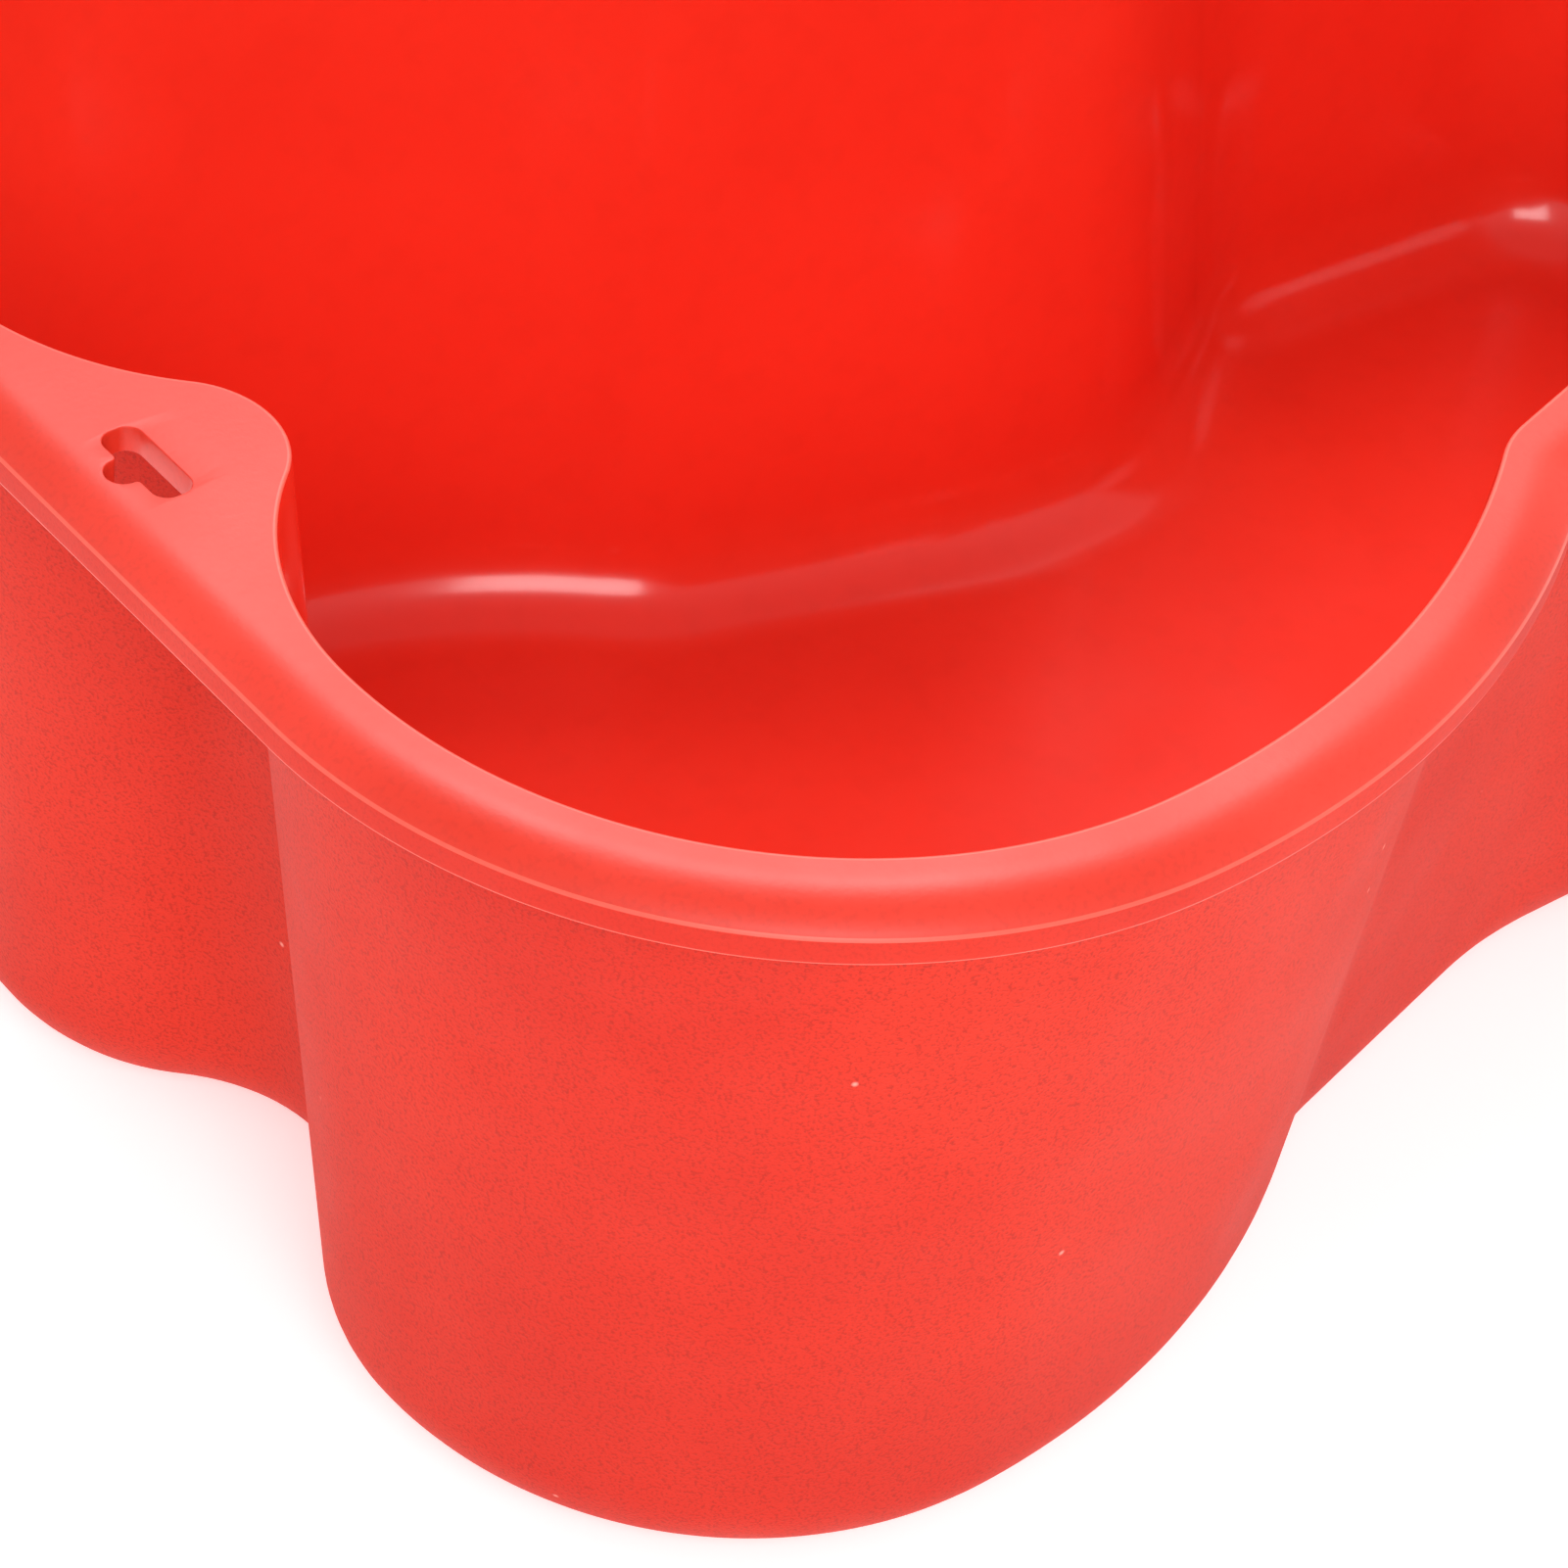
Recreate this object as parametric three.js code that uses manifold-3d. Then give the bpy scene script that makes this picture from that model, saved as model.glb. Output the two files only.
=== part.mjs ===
// A one-piece moulded silicone cake mould: a deep lobed cup with a flat flange round its mouth.
// Two round lobes stand side by side at one end, a narrower body runs on from them, and the far end
// flares a little before a blunt end wall. Between the two lobes the flange widens into a flat web,
// which has a small slot for hanging the mould on a hook.
//
// Millimetres, +Z up. The outline of the opening is drawn with X along the length, from the web's
// outer edge, and Y across, with the centre line at Y = 0. It is a chain of arcs and straights, each
// leaving in the direction in which the one before it ends. The finished part is moved so that its
// origin is on the bottom, in the middle of its length and width.

import * as THREE from 'three';
import { mergeVertices } from 'three/addons/utils/BufferGeometryUtils.js';
import Module from 'manifold-3d';

const degrees = THREE.MathUtils.degToRad;

// Shell
const DEPTH = 76.3; // rim top to the surface that the mould stands on
const WALL = 2; // thickness of the walls and the floor
const DRAFT = degrees(6.5); // lean of the walls, so that a cake comes out
const BOTTOM_ROUND = 10.2; // outside radius where the walls turn into the floor

// Flange
const FLANGE_WIDTH = 5.8; // measured outwards from the edge of the opening
const FLANGE_THICK = 2.1;
const FLANGE_FLAT = 1.8; // level strip beside the opening, before the flange rolls down
const FLANGE_DROP = 1.9; // from the rim top to the upper edge of the flange's outer edge

// Lobes. A heading is the direction of the outline, anticlockwise from +X.
const LOBE_SPREAD = 24.7; // from the centre line to the point of a lobe nearest the web's edge
const LOBE_WEB_RADIUS = 25.3; // the lobe's curve beside the web
const LOBE_RADIUS = 37.8; // its outer quarter
const LOBE_NECK_RADIUS = 69; // its flatter side, towards the neck
const NOSE_RADIUS = 7.8; // rounding of the web's nose between the two lobes
const LOBE_HEADING = degrees(38.4); // where the lobe ends at the neck

// Body: neck, waist and flared end. An edge radius is that of the flange's outer edge in a hollow
// stretch, and a floor radius is that of the flat floor's edge inside a corner.
const NECK_EDGE_RADIUS = 3.3;
const NECK_HEADING = degrees(15.3);
const NECK_RUN = 21.1; // straight from the neck towards the waist
const WAIST_RADIUS = 36.6;
const WAIST_HEADING = degrees(-0.2);
const WAIST_RUN = 4.1; // straight from the waist to the foot of the flare
const FLARE_EDGE_RADIUS = 11.8;
const FLARE_HEADING = degrees(-33.6);
const FLARE_RUN = 9.8; // straight up the flare
const SHOULDER_FLOOR_RADIUS = 8.8;
const END_HEADING = degrees(3.5);
const END_RUN = 21.2; // straight from the shoulder to the end corner
const END_FLOOR_RADIUS = 4.7;

// Hanging slot in the web
const SLOT_X = 6.9; // from the web's outer edge to the middle of the slot's bar
const SLOT_LENGTH = 8; // across the web
const SLOT_WIDTH = 3;
const SLOT_END_RADIUS = 1.2;
const SLOT_BUMP_WIDTH = 2.6; // round bay in the outer side of the bar
const SLOT_BUMP_DEPTH = 1.7;

// Facet control
const CHORD_ERROR = 0.02; // between a curve and its facets
const ROUND_STEPS = 6; // facets along the bottom rounding
const ROLL_STEPS = 4; // facets across the rolled part of the flange
const CUT_MARGIN = 1; // how far a cutting tool runs past the faces it cuts

const MOULD_RED = 0xee3a2c;

// Section through the wall: offset outwards from the edge of the opening, and height.
const lean = Math.tan(DRAFT);
const wallAcross = WALL / Math.cos(DRAFT);
const wallOffset = (z) => (z - DEPTH) * lean;
const roundTopZ = BOTTOM_ROUND - BOTTOM_ROUND * Math.sin(DRAFT);
const roundOffset = wallAcross + wallOffset(roundTopZ) - BOTTOM_ROUND * Math.cos(DRAFT);
const floorInset = -roundOffset;

const outward = (heading) => ({ x: Math.sin(heading), y: -Math.cos(heading) });

// The outline after the point of a lobe nearest the web's edge. A turn has a radius, positive where
// the outline bulges out and negative where it bends in, and the heading at which it ends.
const lobeAndBody = [
  { radius: LOBE_RADIUS, heading: 0 },
  { radius: LOBE_NECK_RADIUS, heading: LOBE_HEADING },
  { radius: -(NECK_EDGE_RADIUS + FLANGE_WIDTH), heading: NECK_HEADING },
  { run: NECK_RUN },
  { radius: -WAIST_RADIUS, heading: WAIST_HEADING },
  { run: WAIST_RUN },
  { radius: -(FLARE_EDGE_RADIUS + FLANGE_WIDTH), heading: FLARE_HEADING },
  { run: FLARE_RUN },
  { radius: SHOULDER_FLOOR_RADIUS + floorInset, heading: END_HEADING },
  { run: END_RUN },
  { radius: END_FLOOR_RADIUS + floorInset, heading: Math.PI / 2 },
];

// Arcs of the right-hand half of the opening, from the nose of the web to the end wall.
function halfOutline() {
  const towardsRight = -Math.PI / 2;
  const webLobe = { x: FLANGE_WIDTH + LOBE_WEB_RADIUS, y: -LOBE_SPREAD };
  const noseX = webLobe.x - Math.sqrt((LOBE_WEB_RADIUS + NOSE_RADIUS) ** 2 - LOBE_SPREAD ** 2);
  const noseLeave = Math.atan2(LOBE_SPREAD, noseX - webLobe.x) - 1.5 * Math.PI;
  const arcs = [
    { x: noseX, y: 0, radius: -NOSE_RADIUS, enter: towardsRight, leave: noseLeave },
    { ...webLobe, radius: LOBE_WEB_RADIUS, enter: noseLeave, leave: towardsRight },
  ];
  let at = { x: FLANGE_WIDTH, y: -LOBE_SPREAD };
  let enter = towardsRight;
  for (const { run = 0, radius = 0, heading = enter } of lobeAndBody) {
    const [before, after] = [outward(enter), outward(heading)];
    const centre = { x: at.x - radius * before.x, y: at.y - radius * before.y };
    if (radius !== 0) arcs.push({ ...centre, radius, enter, leave: heading });
    at = {
      x: centre.x + radius * after.x + run * Math.cos(heading),
      y: centre.y + radius * after.y + run * Math.sin(heading),
    };
    enter = heading;
  }
  return arcs;
}

function mirroredArc({ x, y, radius, enter, leave }) {
  return { x, y: -y, radius, enter: Math.PI - leave, leave: Math.PI - enter };
}

function arcPoints(arc) {
  const reach = Math.abs(arc.radius);
  const step = 2 * Math.acos(1 - CHORD_ERROR / reach);
  const count = Math.ceil(Math.abs(arc.leave - arc.enter) / step);
  return Array.from({ length: count + 1 }, (_, i) => {
    const normal = outward(arc.enter + (arc.leave - arc.enter) * (i / count));
    return { x: arc.x + arc.radius * normal.x, y: arc.y + arc.radius * normal.y, normal };
  });
}

// Points all the way round the opening, anticlockwise from above, each with its outward normal.
function openingPoints() {
  const half = halfOutline();
  const arcs = [...half, ...half.map(mirroredArc).reverse()];
  const points = arcs.flatMap(arcPoints);
  const sameSpot = (a, b) => Math.hypot(a.x - b.x, a.y - b.y) < CHORD_ERROR;
  return points.filter((point, i) => !sameSpot(point, points[(i + 1) % points.length]));
}

const opening = openingPoints();
const overallLength = Math.max(...opening.map((p) => p.x)) + FLANGE_WIDTH;

const offsetRing = (offset, z) => opening.map((p) => [p.x + offset * p.normal.x, p.y + offset * p.normal.y, z]);

// A line along the flange, some way in from its outer edge. The edge keeps its distance from the
// opening all round, but runs straight across between the lobes.
function flangeRing(inset, z) {
  const reach = FLANGE_WIDTH - inset;
  return opening.map((p) => {
    const onWeb = p.x < FLANGE_WIDTH + LOBE_WEB_RADIUS && Math.abs(p.y) < LOBE_SPREAD;
    return onWeb ? [inset, p.y, z] : [p.x + reach * p.normal.x, p.y + reach * p.normal.y, z];
  });
}

// Upper or lower face of the flange, from the level strip over the roll to the outer edge.
function rollRings(levelZ) {
  const rollWidth = FLANGE_WIDTH - FLANGE_FLAT;
  const rollRadius = (rollWidth ** 2 + FLANGE_DROP ** 2) / (2 * FLANGE_DROP);
  const rollTurn = Math.atan2(rollWidth, rollRadius - FLANGE_DROP);
  return Array.from({ length: ROLL_STEPS + 1 }, (_, i) => {
    const angle = rollTurn * (i / ROLL_STEPS);
    return flangeRing(rollWidth - rollRadius * Math.sin(angle), levelZ - rollRadius * (1 - Math.cos(angle)));
  });
}

// Bottom rounding at one radius, from the floor up to the wall.
function roundingRings(radius) {
  const sweep = Math.PI / 2 - DRAFT;
  return Array.from({ length: ROUND_STEPS + 1 }, (_, i) => {
    const angle = -Math.PI / 2 + sweep * (i / ROUND_STEPS);
    return offsetRing(roundOffset + radius * Math.cos(angle), BOTTOM_ROUND + radius * Math.sin(angle));
  });
}

function closedSolid(positions, triangles) {
  const geometry = new THREE.BufferGeometry();
  geometry.setAttribute('position', new THREE.Float32BufferAttribute(positions, 3));
  geometry.setIndex(triangles);
  return geometry;
}

// Skin over a stack of rings with the same number of points, closed by a cap at each end.
function ringSolid(rings) {
  const around = rings[0].length;
  const last = (rings.length - 1) * around;
  const triangles = [];
  for (let k = 0; k + 1 < rings.length; k += 1) {
    for (let i = 0; i < around; i += 1) {
      const j = (i + 1) % around;
      const [a, b] = [k * around + i, k * around + j];
      triangles.push(a, b + around, b, a, a + around, b + around);
    }
  }
  const capOf = (ring) => THREE.ShapeUtils.triangulateShape(ring.map(([x, y]) => new THREE.Vector2(x, y)), []);
  for (const [a, b, c] of capOf(rings[0])) triangles.push(a, b, c);
  for (const [a, b, c] of capOf(rings[rings.length - 1])) triangles.push(last + a, last + c, last + b);
  return closedSolid(rings.flat(2), triangles);
}

function shellGeometry() {
  const underFlange = DEPTH - FLANGE_THICK;
  return ringSolid([
    ...roundingRings(BOTTOM_ROUND - WALL),
    offsetRing(0, DEPTH),
    ...rollRings(DEPTH),
    ...rollRings(underFlange).reverse(),
    offsetRing(wallAcross + wallOffset(underFlange), underFlange),
    ...roundingRings(BOTTOM_ROUND).reverse(),
  ]);
}

// A straight bar with a round bay in the middle of its outer side.
function slotTool() {
  const [inner, outer] = [SLOT_X + SLOT_WIDTH / 2, SLOT_X - SLOT_WIDTH / 2];
  const [halfLength, halfBump] = [SLOT_LENGTH / 2, SLOT_BUMP_WIDTH / 2];
  const bayX = outer - SLOT_BUMP_DEPTH + halfBump;
  const r = SLOT_END_RADIUS;
  const shape = new THREE.Shape();
  shape.moveTo(inner, halfLength - r);
  shape.absarc(inner - r, halfLength - r, r, 0, Math.PI / 2, false);
  shape.lineTo(outer + r, halfLength);
  shape.absarc(outer + r, halfLength - r, r, Math.PI / 2, Math.PI, false);
  shape.lineTo(outer, halfBump);
  shape.lineTo(bayX, halfBump);
  shape.absarc(bayX, 0, halfBump, Math.PI / 2, Math.PI * 1.5, false);
  shape.lineTo(outer, -halfBump);
  shape.lineTo(outer, -halfLength + r);
  shape.absarc(outer + r, -halfLength + r, r, Math.PI, Math.PI * 1.5, false);
  shape.lineTo(inner - r, -halfLength);
  shape.absarc(inner - r, -halfLength + r, r, -Math.PI / 2, 0, false);
  const depth = FLANGE_THICK + 2 * CUT_MARGIN;
  const tool = new THREE.ExtrudeGeometry(shape, { depth, bevelEnabled: false, curveSegments: 6 });
  tool.translate(0, 0, DEPTH - FLANGE_THICK - CUT_MARGIN);
  return tool;
}

const wasm = await Module();
wasm.setup();

function toManifold(geometry) {
  const bare = geometry.clone();
  bare.deleteAttribute('normal');
  bare.deleteAttribute('uv');
  const merged = mergeVertices(bare, 1e-5);
  const vertProperties = new Float32Array(merged.attributes.position.array);
  const triVerts = new Uint32Array(merged.index.array);
  return new wasm.Manifold(new wasm.Mesh({ numProp: 3, vertProperties, triVerts }));
}

function toGeometry(manifold) {
  const mesh = manifold.getMesh();
  return closedSolid(Array.from(mesh.vertProperties), Array.from(mesh.triVerts));
}

const mouldGeometry = toGeometry(toManifold(shellGeometry()).subtract(toManifold(slotTool())));
const mould = new THREE.Mesh(
  mouldGeometry,
  new THREE.MeshStandardMaterial({ color: MOULD_RED, roughness: 0.6, metalness: 0 }),
);
mould.name = 'mould_shell';
mould.position.x = -overallLength / 2;

const bundtPan = new THREE.Group();
bundtPan.add(mould);

export default bundtPan;
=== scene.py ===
# %% [markdown]
# A silicone cake mould ===================== This lesson models a deep cake mould, made in one piece
# from soft red silicone rubber. It has two round lobes at one end, a waist, a flared far end, and a
# narrow flange all round its mouth, which rolls down a little at its outer edge. Between the lobes
# the flange widens into a flat web, with a small slot to hang the mould by. It gives the true size
# and place, and everything below is built in the same frame, in metres, with +Z up.

# %% Load the frame
import bpy, math
from mathutils import Matrix, Vector


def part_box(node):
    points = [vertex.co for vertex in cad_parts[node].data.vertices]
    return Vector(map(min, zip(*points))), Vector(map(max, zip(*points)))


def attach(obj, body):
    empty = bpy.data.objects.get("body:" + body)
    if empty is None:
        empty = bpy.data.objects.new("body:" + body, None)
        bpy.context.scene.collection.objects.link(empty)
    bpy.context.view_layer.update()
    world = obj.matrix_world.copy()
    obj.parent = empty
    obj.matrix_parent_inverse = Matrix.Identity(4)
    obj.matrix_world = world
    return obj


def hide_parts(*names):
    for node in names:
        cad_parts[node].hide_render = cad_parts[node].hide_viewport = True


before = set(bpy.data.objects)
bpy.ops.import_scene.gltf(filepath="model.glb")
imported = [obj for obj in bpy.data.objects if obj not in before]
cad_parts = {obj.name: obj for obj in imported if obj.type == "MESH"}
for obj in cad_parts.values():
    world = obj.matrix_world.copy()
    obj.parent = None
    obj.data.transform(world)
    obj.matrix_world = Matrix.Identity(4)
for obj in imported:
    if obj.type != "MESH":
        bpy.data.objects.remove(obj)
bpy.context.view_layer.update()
low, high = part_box("mould_shell")
LENGTH, WIDTH, DEPTH = (high[i] - low[i] for i in range(3))
MM = 0.001
print("mould: %.1f x %.1f x %.1f mm" % (LENGTH / MM, WIDTH / MM, DEPTH / MM))

# %% [markdown]
# The outline of the mouth
# ------------------------
# A toolmaker draws such an outline as a chain of arcs and short straights, each leaving in the
# direction in which the last one ended, so that there is never a kink. A spline could follow the same
# path, but arcs keep their true radii, and offsetting an arc only changes its radius. That matters
# here, because every level of the wall is the same outline moved a little in or out.
# A heading is the direction of travel, anticlockwise from +X. A positive radius bulges outwards.

# %% Sizes of the outline
FLANGE = 5.8 * MM
FLANGE_THICK = 2.1 * MM
FLANGE_FLAT = 1.8 * MM
FLANGE_DROP = 1.9 * MM
WALL = 2 * MM
DRAFT = math.radians(6.5)
BOTTOM_ROUND = 10.2 * MM
LOBE_SPREAD = 24.7 * MM
WEB_RADIUS = 25.3 * MM
NOSE_RADIUS = 7.8 * MM

lean = math.tan(DRAFT)
wall_across = WALL / math.cos(DRAFT)
round_top = BOTTOM_ROUND * (1 - math.sin(DRAFT))
floor_edge = wall_across + (round_top - DEPTH) * lean - BOTTOM_ROUND * math.cos(DRAFT)
print("the flat floor starts %.1f mm inside the mouth" % (-floor_edge / MM))

# %% The chain of arcs
def outward(heading):
    """The direction that points out of the mould beside a given direction of travel."""
    return Vector((math.sin(heading), -math.cos(heading)))


def walk(at, heading, moves):
    """Follows arcs and runs from a point, and gives the arcs: centre, radius, first and last heading."""
    arcs = []
    for kind, size, *turn in moves:
        if kind == "run":
            at = at + size * Vector((math.cos(heading), math.sin(heading)))
            continue
        centre = at - size * outward(heading)
        arcs.append((centre, size, heading, math.radians(turn[0])))
        heading = math.radians(turn[0])
        at = centre + size * outward(heading)
    return arcs


def mirrored(arc, turn=math.pi):
    """The same arc across the middle line. Turn is the sum of the old and the new heading."""
    centre, radius, enter, leave = arc
    return Vector((centre.x, -centre.y)), radius, turn - leave, turn - enter


def half_chain():
    """Arcs of one half of the mouth, from the nose of the web to the end wall."""
    web = Vector((FLANGE + WEB_RADIUS, -LOBE_SPREAD))
    nose = Vector((web.x - math.sqrt((WEB_RADIUS + NOSE_RADIUS) ** 2 - LOBE_SPREAD ** 2), 0))
    leave = math.atan2(LOBE_SPREAD, nose.x - web.x) - 1.5 * math.pi
    start = -math.pi / 2
    lobe_and_body = walk(Vector((FLANGE, -LOBE_SPREAD)), start, [
        ("arc", 37.8 * MM, 0),  # the lobe's outer quarter
        ("arc", 69 * MM, 38.4),  # its flatter side
        ("arc", -(3.3 * MM + FLANGE), 15.3),  # the neck
        ("run", 21.1 * MM),
        ("arc", -36.6 * MM, -0.2),  # the waist
        ("run", 4.1 * MM),
        ("arc", -(11.8 * MM + FLANGE), -33.6),  # the foot of the flare
        ("run", 9.8 * MM),
        ("arc", 8.8 * MM - floor_edge, 3.5),  # the shoulder
        ("run", 21.2 * MM),
        ("arc", 4.7 * MM - floor_edge, 90),  # the end corner
    ])
    return [(nose, -NOSE_RADIUS, start, leave), (web, WEB_RADIUS, leave, start)] + lobe_and_body


chain = half_chain()
chain += [mirrored(arc) for arc in reversed(chain)]
print(len(chain), "arcs round the mouth")

# %% [markdown]
# Points round the mouth
# ----------------------
# The smooth skin needs evenly spaced points, each with the direction that points out of the mould.
# Arcs get points about 0.8 mm apart, or closer where they are tight, and the straights between them
# are filled in at the same spacing, so the faces of the skin stay close to square.

# %% Sample the outline
STEP = 0.8 * MM
FINEST_TURN = math.radians(4)
SAME_SPOT = 0.001 * MM


def sampled(arcs, step=STEP):
    """Points and outward directions, evenly spaced along a closed chain of arcs and straights."""
    spots = []
    for centre, radius, enter, leave in arcs:
        by_length = abs(leave - enter) * abs(radius) / step
        by_turn = abs(leave - enter) / FINEST_TURN
        count = max(2, math.ceil(max(by_length, by_turn)))
        for i in range(count + 1):
            normal = outward(enter + (leave - enter) * i / count)
            spots.append((centre + radius * normal, normal))
    filled = []
    for (a, normal), (b, after) in zip(spots, spots[1:] + spots[:1]):
        gap = (b - a).length
        if gap < SAME_SPOT:
            continue
        pieces = max(1, round(gap / step))
        for i in range(pieces):
            filled.append((a.lerp(b, i / pieces), normal.lerp(after, i / pieces).normalized()))
    return filled


mouth = sampled(chain)
shift = Vector((-LENGTH / 2, 0))
print(len(mouth), "points round the mouth")

# %% [markdown]
# Rings up and down the wall
# --------------------------
# The skin is a stack of rings. Each ring is the outline moved in or out by one distance at one
# height, so the whole section of the wall is a short list of such pairs: up the inside from the
# floor, over the flange, down the outside and under. Silicone comes out of a steel mould with tiny
# rounded edges, which catch the light as fine bright lines, so each edge of the flange gets a small
# arc of its own instead of being left sharp. The outer edge of the flange keeps an even distance from
# the mouth, except between the lobes, where it runs straight across.

# %% Ring helpers
EDGE_ROUND = 0.2 * MM


def ring(offset, z):
    """The outline of the mouth, moved outwards by offset."""
    return [(p.x + offset * n.x + shift.x, p.y + offset * n.y, z) for p, n in mouth]


def edge_ring(inset, z):
    """The flange's outer edge, moved in by inset."""
    spots = []
    for p, n in mouth:
        on_web = p.x < FLANGE + WEB_RADIUS and abs(p.y) < LOBE_SPREAD
        x, y = (inset, p.y) if on_web else (p.x + (FLANGE - inset) * n.x, p.y + (FLANGE - inset) * n.y)
        spots.append((x + shift.x, y, z))
    return spots


def between(first, last, count):
    """Rings in between two others, without the two themselves."""
    rings = []
    for k in range(1, count + 1):
        t = k / (count + 1)
        rings.append([tuple(a + (b - a) * t for a, b in zip(u, v)) for u, v in zip(first, last)])
    return rings


def arc_pairs(centre_offset, centre_z, radius, start, end, count):
    """Offset and height along an arc of the section, from one angle to another in degrees."""
    angles = [math.radians(start + (end - start) * k / count) for k in range(count + 1)]
    return [(centre_offset + radius * math.cos(a), centre_z + radius * math.sin(a)) for a in angles]


# %% The section of the wall
FLOOR_ROWS, FOOT_ROWS, LIP_ROWS = 14, 16, 5
FLANGE_ROOT = 0.6 * MM

draft_deg = math.degrees(DRAFT)
inside_round = arc_pairs(floor_edge, BOTTOM_ROUND, BOTTOM_ROUND - WALL, -90, -draft_deg, FLOOR_ROWS)
outside_round = arc_pairs(floor_edge, BOTTOM_ROUND, BOTTOM_ROUND, -draft_deg, -90, FOOT_ROWS)
lip_centre = EDGE_ROUND / math.cos(DRAFT) - EDGE_ROUND * lean
inner_lip = arc_pairs(lip_centre, DEPTH - EDGE_ROUND, EDGE_ROUND, 180 - draft_deg, 90, LIP_ROWS)

# Under the flange, two small slopes stand in for the fillet between it and the wall.
under = DEPTH - FLANGE_THICK
wall_top = wall_across + (under - DEPTH) * lean
flange_root = [
    (wall_top + FLANGE_ROOT, under),
    (wall_top + 0.25 * FLANGE_ROOT, under - 0.3 * FLANGE_ROOT),
    (wall_top, under - FLANGE_ROOT),
]
print("the floor's rounding has", len(inside_round), "levels inside and", len(outside_round), "outside")

# %% [markdown]
# The roll of the flange
# ----------------------
# The flange is level only beside the mouth. From there it rolls down over a large arc to its outer
# edge. Its underside is the same roll, one thickness lower. The two corners of the outer edge are
# small arcs, and the roll stops just short of them, so that neither face doubles back on itself.

# %% Lines over the roll
ROLL_ROWS, CORNER_ROWS = 8, 4
CORNER_GAP = 1.2 * EDGE_ROUND
UPPER_SEAT = 0.8 * EDGE_ROUND
LOWER_SEAT = 1.3 * EDGE_ROUND

roll_width = FLANGE - FLANGE_FLAT
roll_radius = (roll_width ** 2 + FLANGE_DROP ** 2) / (2 * FLANGE_DROP)
roll_turn = math.atan2(roll_width, roll_radius - FLANGE_DROP)
roll_end = roll_turn - CORNER_GAP / roll_radius


def on_roll(level, turn):
    """A line on the roll, as inset and height: this far round the arc that starts at this level."""
    return roll_width - roll_radius * math.sin(turn), level - roll_radius * (1 - math.cos(turn))


def roll(level):
    """Lines over the roll, from the level strip outwards."""
    return [on_roll(level, roll_end * k / ROLL_ROWS) for k in range(ROLL_ROWS + 1)]


def corner_arc(level, start, end):
    """Lines over one small corner of the outer edge, between two angles in radians."""
    inset, height = on_roll(level, roll_turn)
    angles = [start + (end - start) * k / CORNER_ROWS for k in range(CORNER_ROWS + 1)]
    middle = inset + EDGE_ROUND
    return [(middle - EDGE_ROUND * math.cos(a), height + EDGE_ROUND * math.sin(a)) for a in angles]


upper_roll = roll(DEPTH)
lower_roll = roll(under)
upper_corner = corner_arc(DEPTH - UPPER_SEAT, math.pi / 2 - roll_turn, 0)
lower_corner = corner_arc(under + LOWER_SEAT, 0, -math.pi / 2 - roll_turn / 2)
print("the flange rolls down through %.0f degrees" % math.degrees(roll_turn))

# %% [markdown]
# Stacking the rings
# ------------------
# The rings are now stacked in order, from the floor up the inside, over the flange and down again. The
# inside, the top of the flange, its outer band and the outside come from different parts of the steel
# mould, some polished and some blasted. The thin edges get a pale colour, a painted highlight. So each
# ring also says which finish the faces that lead up to it have.

# %% Stack the rings
INSIDE, PAINTED_HIGHLIGHT_EDGE, RIM, BAND, OUTSIDE = range(5)
WALL_ROWS, FLAT_ROWS = 30, 2
LIP_END = 1.4 * EDGE_ROUND
# Rows of the upper outer corner that get the pale edge colour, a painted highlight.
HIGHLIGHT_CORNER_ROWS = 3
stack, row_finish = [], []


def add(finish, rings):
    """Puts rings on the stack, and notes the finish of the faces that lead up to each of them."""
    stack.extend(rings)
    row_finish.extend([finish] * len(rings))


def lead_to(finish, target, count):
    """Fills the way from the top of the stack to another ring, and then adds that ring."""
    add(finish, between(stack[-1], target, count) + [target])


lip = [ring(*pair) for pair in inner_lip]
add(INSIDE, [ring(*pair) for pair in inside_round])
lead_to(INSIDE, lip[0], WALL_ROWS)
# The lip gets the pale edge colour, a painted highlight round the mouth.
add(PAINTED_HIGHLIGHT_EDGE, lip[1:] + [ring(LIP_END, DEPTH)])
lead_to(RIM, edge_ring(*upper_roll[0]), FLAT_ROWS)
add(RIM, [edge_ring(*pair) for pair in upper_roll[1:]])
# Both corners of the outer edge get the pale edge colour too, a painted highlight.
add(PAINTED_HIGHLIGHT_EDGE, [edge_ring(*pair) for pair in upper_corner[:HIGHLIGHT_CORNER_ROWS]])
band_rings = between(stack[-1], edge_ring(*lower_corner[0]), FLAT_ROWS)
add(BAND, [edge_ring(*pair) for pair in upper_corner[HIGHLIGHT_CORNER_ROWS:]])
add(BAND, band_rings + [edge_ring(*lower_corner[0])])
add(PAINTED_HIGHLIGHT_EDGE, [edge_ring(*pair) for pair in lower_corner[1:]])
add(OUTSIDE, [edge_ring(*pair) for pair in reversed(lower_roll)])
lead_to(OUTSIDE, ring(*flange_root[0]), FLAT_ROWS)
add(OUTSIDE, [ring(*pair) for pair in flange_root[1:]])
lead_to(OUTSIDE, ring(*outside_round[0]), WALL_ROWS)
add(OUTSIDE, [ring(*pair) for pair in outside_round[1:]])
print(len(stack), "rings,", len(stack) * len(mouth), "points")

# %% [markdown]
# The skin
# --------
# One closed mesh is made from the rings: quads between neighbouring rings, and a flat cap on the
# first and the last. A mesh built this way is watertight from the start, which the next step needs.

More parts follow.
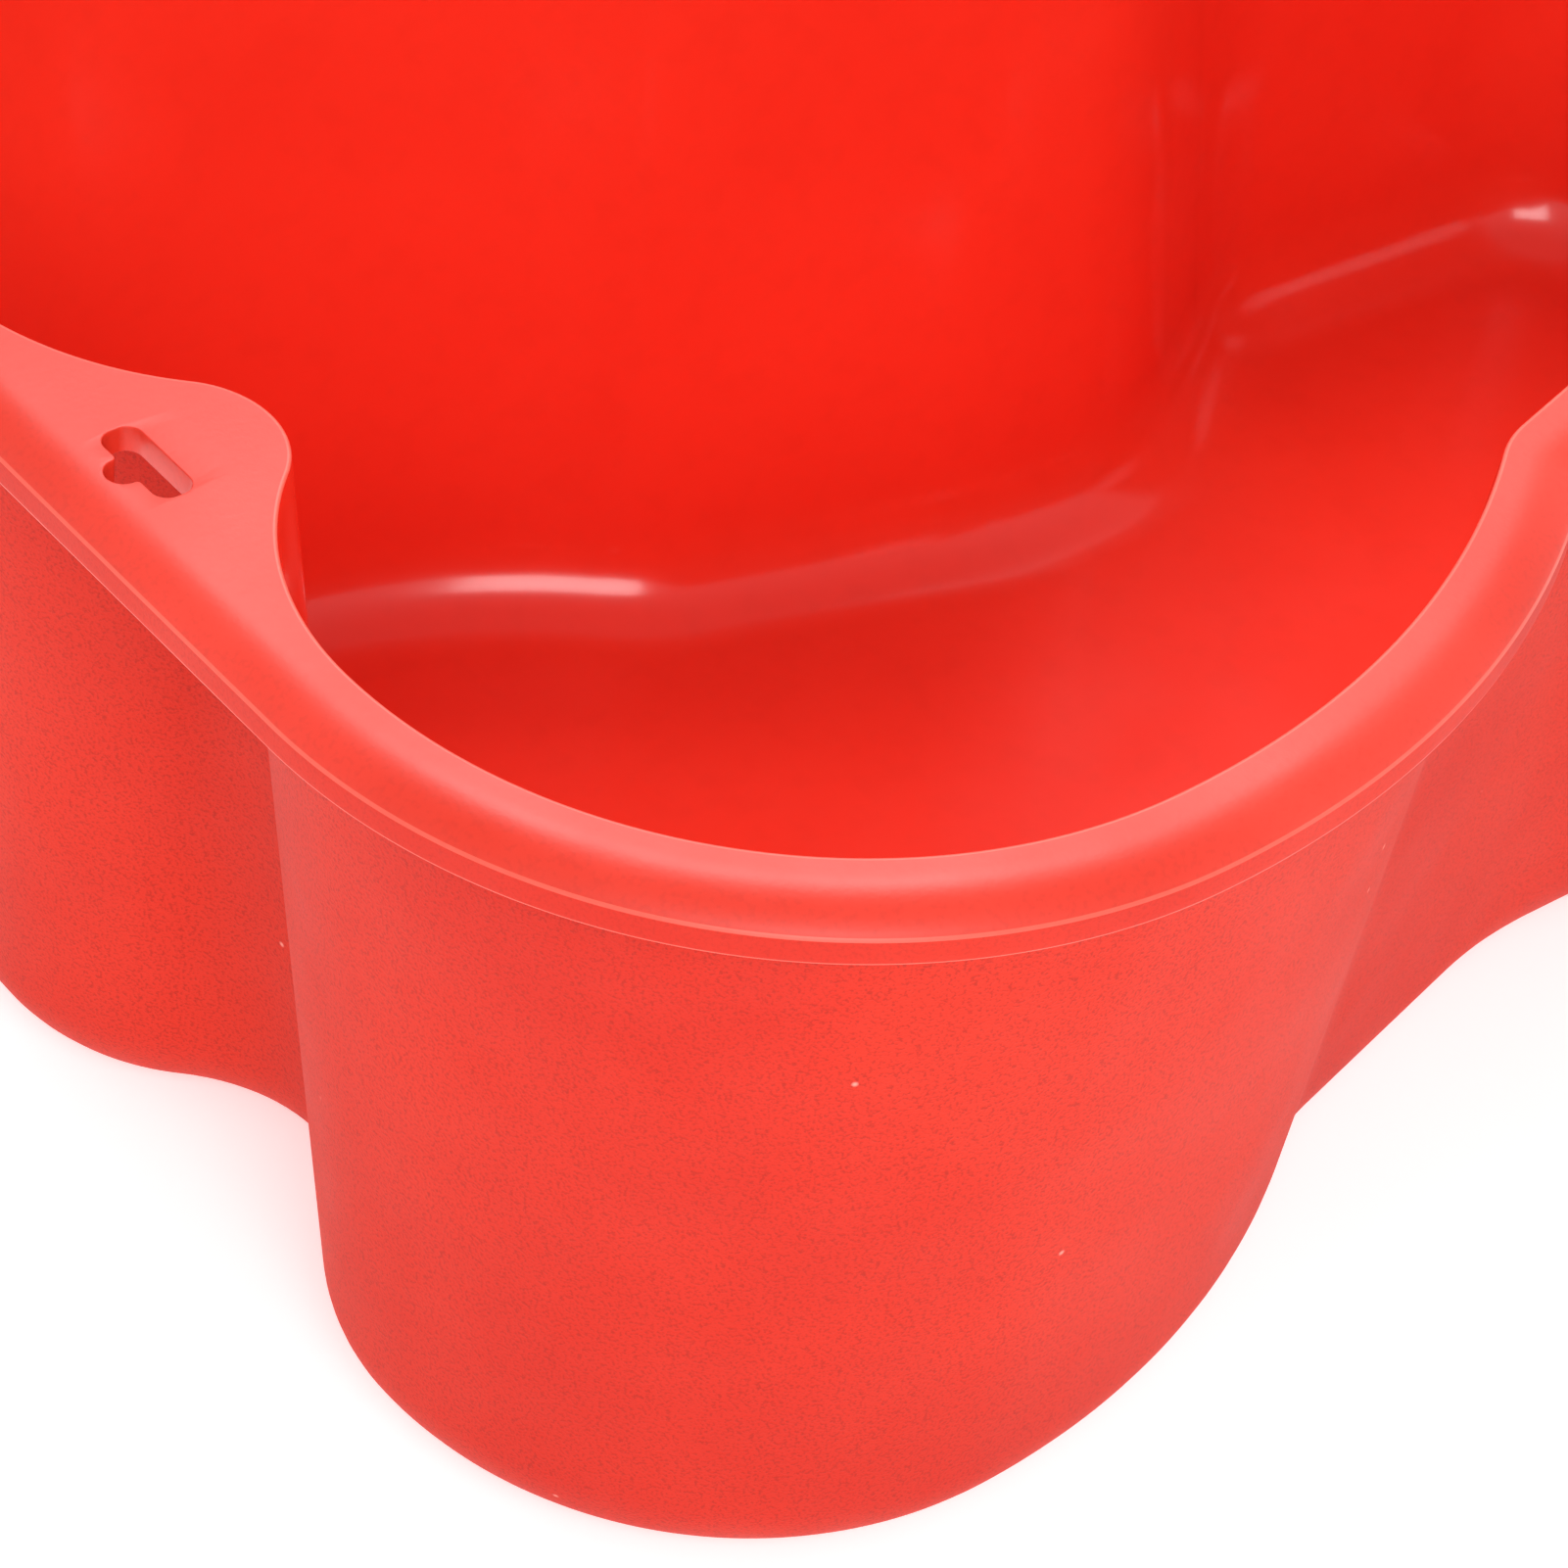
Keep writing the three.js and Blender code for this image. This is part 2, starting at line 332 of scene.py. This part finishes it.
# %% Build the skin
around = len(mouth)
last_ring = (len(stack) - 1) * around
faces, finishes = [], []
for row in range(len(stack) - 1):
    for i in range(around):
        j = (i + 1) % around
        a, b = row * around + i, row * around + j
        faces.append((a, a + around, b + around, b))
        finishes.append(row_finish[row + 1])
floor_cap = tuple(range(around))
underside_cap = tuple(reversed(range(last_ring, last_ring + around)))
faces += [floor_cap, underside_cap]
finishes += [INSIDE, OUTSIDE]

skin = bpy.data.meshes.new("mould")
skin.from_pydata([spot for level in stack for spot in level], [], faces)
skin.polygons.foreach_set("material_index", finishes)
skin.update()
mould = bpy.data.objects.new("mould", skin)
bpy.context.scene.collection.objects.link(mould)
print(len(skin.polygons), "faces in the skin")

# %% [markdown]
# The hanging slot
# ----------------
# The web carries a small slot: a short bar, straight on the side of the mouth, with a round bay in
# its outer side. Cutting it out of the finished skin with a Boolean is simpler than weaving the ring
# grid round it, and the web is flat there, so the cut leaves no mark. The cutter flares by a hair's
# breadth at both faces of the web, which rounds the edges of the hole as moulded edges are.

# %% Outline of the slot
SLOT_X = 6.9 * MM
SLOT_LENGTH = 8 * MM
SLOT_WIDTH = 3 * MM
SLOT_CORNER = 1.2 * MM
BAY_RADIUS = 1.3 * MM
BAY_NECK = 0.4 * MM
HAIR = 0.1 * MM
SLOT_STEP = 0.25 * MM

half_slot = walk(Vector((SLOT_X + SLOT_WIDTH / 2, 0)), math.pi / 2, [
    ("run", SLOT_LENGTH / 2 - SLOT_CORNER),
    ("arc", SLOT_CORNER, 180),
    ("run", SLOT_WIDTH - 2 * SLOT_CORNER),
    ("arc", SLOT_CORNER, 270),
    ("run", SLOT_LENGTH / 2 - SLOT_CORNER - BAY_NECK - BAY_RADIUS),
    ("arc", -BAY_NECK, 180),
    ("arc", BAY_RADIUS, 270),
])
whole_slot = half_slot + [mirrored(arc, 3 * math.pi) for arc in reversed(half_slot)]
slot_edge = sampled(whole_slot, SLOT_STEP)
print(len(slot_edge), "points round the slot")

# %% Build the cutter
FLARE_ROWS = 3
flare = arc_pairs(HAIR, 0, HAIR, 180, 90, FLARE_ROWS)
levels = [(HAIR, under - MM)] + [(widen, under + HAIR - rise) for widen, rise in reversed(flare)]
levels += [(widen, DEPTH - HAIR + rise) for widen, rise in flare] + [(HAIR, DEPTH + MM)]
spots = [(p.x + widen * n.x + shift.x, p.y + widen * n.y, z) for widen, z in levels for p, n in slot_edge]

count = len(slot_edge)
top_level = (len(levels) - 1) * count
cutter_faces = []
for low_level in range(0, top_level, count):
    for i in range(count):
        j = (i + 1) % count
        a, b = low_level + i, low_level + j
        cutter_faces.append((a, b, b + count, a + count))
cutter_faces.append(tuple(reversed(range(count))))
cutter_faces.append(tuple(range(top_level, top_level + count)))

cutter_mesh = bpy.data.meshes.new("slot_cutter")
cutter_mesh.from_pydata(spots, [], cutter_faces)
cutter_mesh.polygons.foreach_set("material_index", [RIM] * len(cutter_faces))
cutter = bpy.data.objects.new("slot_cutter", cutter_mesh)
bpy.context.scene.collection.objects.link(cutter)
print(len(cutter_faces), "faces in the cutter")

# %% [markdown]
# The finishes of one silicone
# ----------------------------
# The whole mould is one red silicone rubber. Light enters it a little way, so its edges glow instead
# of looking painted, which a small amount of subsurface scattering gives. What differs is the surface:
# polished and wet-looking inside, satin on top of the flange, and blasted to a fine dry grain outside.
# The colours differ too, by painted light: a brighter red inside is a painted glow, a lighter red on the
# flange top is painted light from above, and paler thin edges are a painted highlight.
# One function makes them all, and takes the grain and the gloss as values. The pattern is laid out in
# the object's own space, so it stays put from every side.

# %% Node helpers
def noise(tree, place, scale, detail, rough=0.5):
    """A soft random pattern. Scale is how many of its clouds fit across a metre."""
    node = tree.nodes.new("ShaderNodeTexNoise")
    node.inputs["Scale"].default_value = scale
    node.inputs["Detail"].default_value = detail
    node.inputs["Roughness"].default_value = rough
    tree.links.new(place, node.inputs["Vector"])
    return node.outputs["Fac"]


def spread(tree, value, before, after):
    """Stretches a value from one range to another, and holds it at the ends."""
    node = tree.nodes.new("ShaderNodeMapRange")
    node.inputs["From Min"].default_value, node.inputs["From Max"].default_value = before
    node.inputs["To Min"].default_value, node.inputs["To Max"].default_value = after
    tree.links.new(value, node.inputs["Value"])
    return node.outputs["Result"]


def blend(tree, amount, first, second):
    """Mixes two colours. Either is three numbers or another node's output."""
    node = tree.nodes.new("ShaderNodeMix")
    node.data_type = "RGBA"
    tree.links.new(amount, node.inputs["Factor"])
    first_colour, second_colour = [socket for socket in node.inputs if socket.type == "RGBA"]
    for socket, colour in ((first_colour, first), (second_colour, second)):
        if isinstance(colour, tuple):
            socket.default_value = (*colour, 1)
        else:
            tree.links.new(colour, socket)
    return next(socket for socket in node.outputs if socket.type == "RGBA")


print("helpers for noise, ranges and colour mixes")

# %% [markdown]
# Dust shows on silicone as tiny pale specks. A Voronoi texture splits space into cells and gives each
# of them a random colour. Specks come only in the middles of the few cells whose red value is highest,
# so they are scattered evenly without placing any by hand.

# %% Specks of dust
SPECKS_ACROSS_A_METRE = 260
SPECK_COLOUR = (0.95, 0.5, 0.42)
SPECK_STRENGTH = 0.55


def speck_amount(tree, place, share):
    """How much of the speck colour shows, with specks in this share of the cells."""
    cells = tree.nodes.new("ShaderNodeTexVoronoi")
    cells.inputs["Scale"].default_value = SPECKS_ACROSS_A_METRE
    tree.links.new(place, cells.inputs["Vector"])
    split = tree.nodes.new("ShaderNodeSeparateColor")
    tree.links.new(cells.outputs["Color"], split.inputs["Color"])
    both = tree.nodes.new("ShaderNodeMath")
    both.operation = "MULTIPLY"
    near = spread(tree, cells.outputs["Distance"], (0.03, 0.08), (1, 0))
    chosen = spread(tree, split.outputs["Red"], (1 - share, 1 - share + 0.001), (0, SPECK_STRENGTH))
    tree.links.new(near, both.inputs[0])
    tree.links.new(chosen, both.inputs[1])
    return both.outputs[0]


print("about one cell every %.1f mm" % (1 / SPECKS_ACROSS_A_METRE / MM))

# %% The silicone function
CLOUDS_ACROSS_A_METRE = 28
SMUDGES_ACROSS_A_METRE = 90
# How far the dark tone is darkened in the pits: painted shade.
PIT_SHADE = 0.55


def silicone(name, light, dark, roughness, grain, grain_size, specks, pit_shade_strength, specular=0.5, coat=0, sheen=0):
    """One finish: two tones of red, gloss, grain depth and size, share of specks and strength of painted
    shade in pits.
    """
    material = bpy.data.materials.new(name)
    material.use_nodes = True
    tree = material.node_tree
    shader = tree.nodes["Principled BSDF"]
    place = tree.nodes.new("ShaderNodeTexCoord").outputs["Object"]

    clouds = spread(tree, noise(tree, place, CLOUDS_ACROSS_A_METRE, detail=3), (0.35, 0.65), (0, 1))
    tone = blend(tree, clouds, dark, light)
    # Darker spots where a fine noise is high: painted shade, as of tiny pits in the grain.
    painted_pit_shade = spread(tree, noise(tree, place, 1 / grain_size, detail=2), (0.5, 0.68), (0, pit_shade_strength))
    with_pit_shade = blend(tree, painted_pit_shade, tone, tuple(PIT_SHADE * channel for channel in dark))
    dusty = blend(tree, speck_amount(tree, place, specks), with_pit_shade, SPECK_COLOUR)
    tree.links.new(dusty, shader.inputs["Base Color"])

    smudges = noise(tree, place, SMUDGES_ACROSS_A_METRE, detail=4)
    gloss = spread(tree, smudges, (0.3, 0.7), (roughness * 0.92, roughness * 1.08))
    tree.links.new(gloss, shader.inputs["Roughness"])
    bump = tree.nodes.new("ShaderNodeBump")
    bump.inputs["Strength"].default_value = 1.0
    bump.inputs["Distance"].default_value = grain
    tree.links.new(noise(tree, place, 1 / grain_size, detail=2, rough=0.6), bump.inputs["Height"])
    tree.links.new(bump.outputs["Normal"], shader.inputs["Normal"])

    rubber = {
        "IOR": 1.41,
        "Subsurface Weight": 0.2,
        "Subsurface Radius": (1.0, 0.25, 0.15),
        "Subsurface Scale": 1.2 * MM,
        "Coat Weight": coat,
        "Coat Roughness": 0.12,
        "Specular IOR Level": specular,
        "Sheen Weight": sheen,
        "Sheen Roughness": 0.5,
        "Sheen Tint": (1.0, 0.55, 0.5, 1),
    }
    for socket, value in rubber.items():
        shader.inputs[socket].default_value = value
    material.diffuse_color = (*light, 1)
    return material


# %% [markdown]
# The inside is polished, so it mirrors the lamps softly and shows a bright line where the wall rolls
# into the floor. Its brighter red is a painted glow. The top of the flange is satin, and its lighter red
# is painted light from above. The outside has a fine sandy grain, darker pits of painted shade and a few
# pale specks of dust. The thin edges of the flange are paler, a painted highlight that draws a fine
# bright line round the mouth.

# %% The five finishes
# The inside red is brighter than the outside's coral: a painted glow of light bouncing inside the mould.
INSIDE_RED_PAINTED_GLOW = (0.82, 0.036, 0.017)
INSIDE_RED_DEEP_PAINTED_GLOW = (0.77, 0.030, 0.014)
CORAL = (0.60, 0.026, 0.010)
CORAL_DEEP = (0.53, 0.018, 0.007)
# Lighter red on top of the flange: painted light from above.
FLANGE_TOP_PAINTED_LIGHT = (0.72, 0.044, 0.024)
# Pale red of the thin edges: a painted highlight along them.
EDGE_PAINTED_HIGHLIGHT = (0.82, 0.105, 0.07)
EDGE_PAINTED_HIGHLIGHT_DEEP = (0.76, 0.085, 0.055)

finishes_in_order = [
    silicone("silicone_inside_painted_glow", INSIDE_RED_PAINTED_GLOW, INSIDE_RED_DEEP_PAINTED_GLOW, roughness=0.2, grain=0.005 * MM, grain_size=3.0 * MM,
             specks=0.004, pit_shade_strength=0.05, coat=0.3),
    silicone("silicone_edge_painted_highlight", EDGE_PAINTED_HIGHLIGHT, EDGE_PAINTED_HIGHLIGHT_DEEP, roughness=0.35, grain=0.004 * MM, grain_size=0.8 * MM,
             specks=0.01, pit_shade_strength=0.1),
    silicone("silicone_flange_painted_light", FLANGE_TOP_PAINTED_LIGHT, CORAL, roughness=0.44, grain=0.012 * MM, grain_size=0.5 * MM,
             specks=0.03, pit_shade_strength=0.15),
    silicone("silicone_band", CORAL, CORAL_DEEP, roughness=0.60, grain=0.02 * MM, grain_size=0.25 * MM,
             specks=0.03, pit_shade_strength=0.25, specular=0.3),
    silicone("silicone_outside", CORAL, CORAL_DEEP, roughness=0.70, grain=0.06 * MM, grain_size=0.25 * MM,
             specks=0.10, pit_shade_strength=0.6, specular=0.28, sheen=0.04),
]
for finish in finishes_in_order:
    skin.materials.append(finish)
    cutter_mesh.materials.append(finish)
print([finish.name for finish in finishes_in_order])

# %% [markdown]
# The cut is now made for good, so that the skin is one plain mesh again. Shading is smooth everywhere
# except across edges of more than 50 degrees, which are the rims of the slot.

# %% Apply the cut and smooth the skin
SHARPEST_SMOOTH = math.radians(50)
cut = mould.modifiers.new("slot", "BOOLEAN")
cut.operation = "DIFFERENCE"
cut.solver = "EXACT"
cut.object = cutter
bpy.context.view_layer.update()
cut_skin = bpy.data.meshes.new_from_object(mould.evaluated_get(bpy.context.evaluated_depsgraph_get()))
mould.modifiers.clear()
mould.data = cut_skin
cut_skin.name = "mould_skin"
bpy.data.objects.remove(cutter)
cut_skin.polygons.foreach_set("use_smooth", [True] * len(cut_skin.polygons))
cut_skin.set_sharp_from_angle(angle=SHARPEST_SMOOTH)
cut_skin.update()
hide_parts("mould_shell")
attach(mould, "root")
print(len(cut_skin.polygons), "faces after the cut")

# %% [markdown]
# The table
# ---------
# The mould stands on a plain pale table that gives off a little light, as a lit table for small goods
# does. It fills in the shadow at the foot of the mould and sends some light up its walls.

# %% Floor
REACH = 3.0
FLOOR_DROP = 0.3 * MM

floor_mesh = bpy.data.meshes.new("floor")
corners = [(-REACH, -REACH, 0), (REACH, -REACH, 0), (REACH, REACH, 0), (-REACH, REACH, 0)]
floor_mesh.from_pydata(corners, [], [(0, 1, 2, 3)])
floor = bpy.data.objects.new("floor", floor_mesh)
floor.location.z = -FLOOR_DROP
bpy.context.scene.collection.objects.link(floor)

paper = bpy.data.materials.new("pale_floor")
paper.use_nodes = True
paper_shader = paper.node_tree.nodes["Principled BSDF"]
paper_shader.inputs["Base Color"].default_value = (0.95, 0.95, 0.95, 1)
paper_shader.inputs["Roughness"].default_value = 0.9
paper_shader.inputs["Emission Color"].default_value = (1, 1, 1, 1)
paper_shader.inputs["Emission Strength"].default_value = 0.4
floor_mesh.materials.append(paper)
print("a floor of %.0f m" % (2 * REACH))

# %% [markdown]
# The light
# ---------
# A white surround gives soft light from all sides. It is bright from the horizon up and dimmer
# overhead, which keeps its reflection in the rounding of the floor down to a fine line. A small soft
# box above and behind the mould adds the brightest spots on that line, and another one in front lights
# the outside of the lobes.

# %% Surround
world = bpy.data.worlds.new("surround")
bpy.context.scene.world = world
world.use_nodes = True
sky = world.node_tree
sky.nodes["Background"].inputs["Color"].default_value = (1, 1, 1, 1)
direction = sky.nodes.new("ShaderNodeSeparateXYZ")
sky.links.new(sky.nodes.new("ShaderNodeTexCoord").outputs["Generated"], direction.inputs["Vector"])
brightness = spread(sky, direction.outputs["Z"], (0.45, 0.95), (1.0, 0.35))
sky.links.new(brightness, sky.nodes["Background"].inputs["Strength"])
print("surround:", world.name)


# %% Soft boxes
def soft_box(name, place, width, power):
    """A square lamp aimed at the middle of the mould."""
    lamp = bpy.data.lights.new(name, "AREA")
    lamp.shape = "RECTANGLE"
    lamp.size = width
    lamp.size_y = width
    lamp.energy = power
    holder = bpy.data.objects.new(name, lamp)
    holder.location = place
    aim = Vector((0, 0, DEPTH / 2)) - Vector(place)
    holder.rotation_euler = aim.to_track_quat("-Z", "Y").to_euler()
    bpy.context.scene.collection.objects.link(holder)


soft_box("overhead", place=(0.25, 0.35, 0.8), width=0.35, power=6)
soft_box("front", place=(-0.50, -0.72, 0.7), width=0.5, power=6)
print("two soft boxes")

# %% [markdown]
# The camera
# ----------
# The camera looks down into the mould from beyond the near lobe, over a long lens, so that shapes stay
# nearly undistorted, and it is tipped a little to one side. Azimuth is the way it looks, turned from
# +Y towards +X. The view transform is the plain one, which keeps a pure red pure.

# %% Camera
AZIMUTH = math.radians(42.24)
ELEVATION = math.radians(41.1)
ROLL = math.radians(6.67)
DISTANCE = 404 * MM
AIM = Vector((-78.4 * MM, -48.3 * MM, DEPTH))

level = math.cos(ELEVATION)
away = Vector((math.sin(AZIMUTH) * level, math.cos(AZIMUTH) * level, -math.sin(ELEVATION)))
level_right = away.cross(Vector((0, 0, 1))).normalized()
level_up = level_right.cross(away)
right = level_right * math.cos(ROLL) + level_up * math.sin(ROLL)
up = level_up * math.cos(ROLL) - level_right * math.sin(ROLL)

lens = bpy.data.cameras.new("camera")
lens.lens = 146.2
lens.sensor_width = 36
lens.clip_start = 0.01
camera = bpy.data.objects.new("camera", lens)
facing = Matrix((right, up, -away)).transposed().to_4x4()
camera.matrix_world = Matrix.Translation(AIM - away * DISTANCE) @ facing
bpy.context.scene.collection.objects.link(camera)
bpy.context.scene.camera = camera
bpy.context.scene.view_settings.view_transform = "Standard"
print("camera at", [round(v, 3) for v in camera.location])
